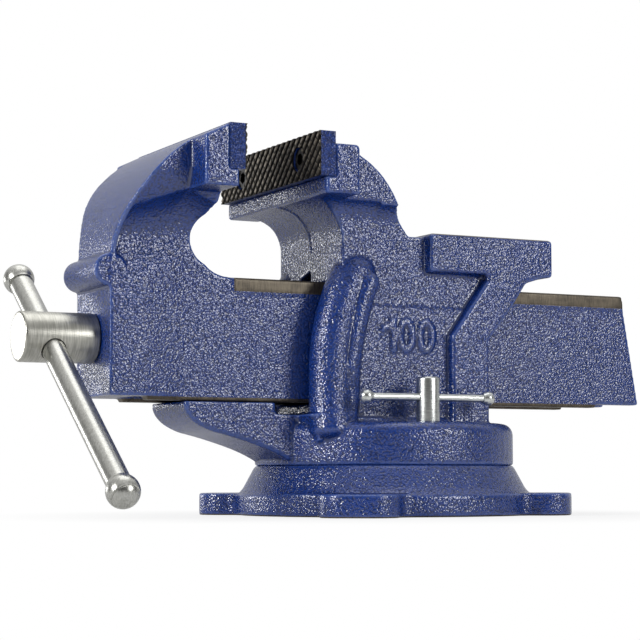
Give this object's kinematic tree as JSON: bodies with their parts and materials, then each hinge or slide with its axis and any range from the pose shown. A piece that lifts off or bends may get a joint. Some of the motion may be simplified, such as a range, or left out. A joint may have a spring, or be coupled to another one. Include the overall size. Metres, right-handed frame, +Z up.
{
  "type": "bench vise",
  "caption": "Swivelling bench vise: cast body with a fixed jaw and anvil, a sliding jaw driven by a screw and sliding handle, on a round lugged base.",
  "frame": {"origin": "on the swivel axis, at the base's flat underside", "axes": "+X along the slide from the spindle's head to the anvil, +Y to the far side, +Z up"},
  "size_m": [0.3001, 0.17, 0.1618],
  "materials": {
    "paint": "blue hammertone paint on cast iron",
    "plate": "dark hardened steel with a diamond knurl",
    "steel": "turned and brushed steel",
    "zinc": "bright zinc plating",
    "black": "black oxide",
    "iron": "bare machined cast iron"
  },
  "bodies": {
    "base": {"base": "paint"},
    "body": {"body": "paint", "fixed_insert": "plate", "fixed_screw_near": "black", "fixed_screw_far": "black", "spindle_nut": "iron", "nut_bolt": "zinc", "lock_nut_near": "zinc", "lock_nut_far": "zinc"},
    "movable_jaw": {"movable_jaw": "paint", "movable_insert": "plate", "movable_screw_near": "black", "movable_screw_far": "black"},
    "spindle": {"spindle": "steel", "spindle_collar": "steel", "collar_pin": "steel"},
    "handle": {"handle_bar": "steel", "handle_ball_upper": "steel", "handle_ball_lower": "steel"},
    "lock_near": {"lock_screw_near": "zinc"},
    "lock_bar_near": {"lock_bar_near": "zinc", "lock_ball_near_front": "zinc", "lock_ball_near_rear": "zinc"},
    "lock_far": {"lock_screw_far": "zinc"},
    "lock_bar_far": {"lock_bar_far": "zinc", "lock_ball_far_front": "zinc", "lock_ball_far_rear": "zinc"}
  },
  "joints": [
    {"name": "swivel_turn", "type": "hinge", "parent": "base", "child": "body", "pos_m": [0, 0, 0.0218], "axis": [0, 0, 1], "continuous": true},
    {"name": "jaw_slide", "type": "slide", "parent": "body", "child": "movable_jaw", "axis": [1, 0, 0], "range_m": [-0.067, 0.033]},
    {"name": "spindle_turn", "type": "hinge", "parent": "movable_jaw", "child": "spindle", "pos_m": [-0.139, 0, 0.0747], "axis": [1, 0, 0], "range_deg": [-6031, 2971]},
    {"name": "handle_slide", "type": "slide", "parent": "spindle", "child": "handle", "axis": [0, 0.808, 0.5892], "range_m": [-0.0315, 0.092]},
    {"name": "lock_near_turn", "type": "hinge", "parent": "body", "child": "lock_near", "pos_m": [-0.0036, -0.04586, 0.0508], "axis": [0, 0, 1], "range_deg": [-12, 12]},
    {"name": "lock_bar_near_slide", "type": "slide", "parent": "lock_near", "child": "lock_bar_near", "axis": [-1, 0, 0], "range_m": [-0.022, 0.022]},
    {"name": "lock_far_turn", "type": "hinge", "parent": "body", "child": "lock_far", "pos_m": [-0.0036, 0.04586, 0.0508], "axis": [0, 0, 1], "range_deg": [-12, 12]},
    {"name": "lock_bar_far_slide", "type": "slide", "parent": "lock_far", "child": "lock_bar_far", "axis": [1, 0, 0], "range_m": [-0.022, 0.022]}
  ],
  "couplings": [
    {"joint": "spindle_turn", "follows": "jaw_slide", "rad_per_m": 1570.8}
  ]
}
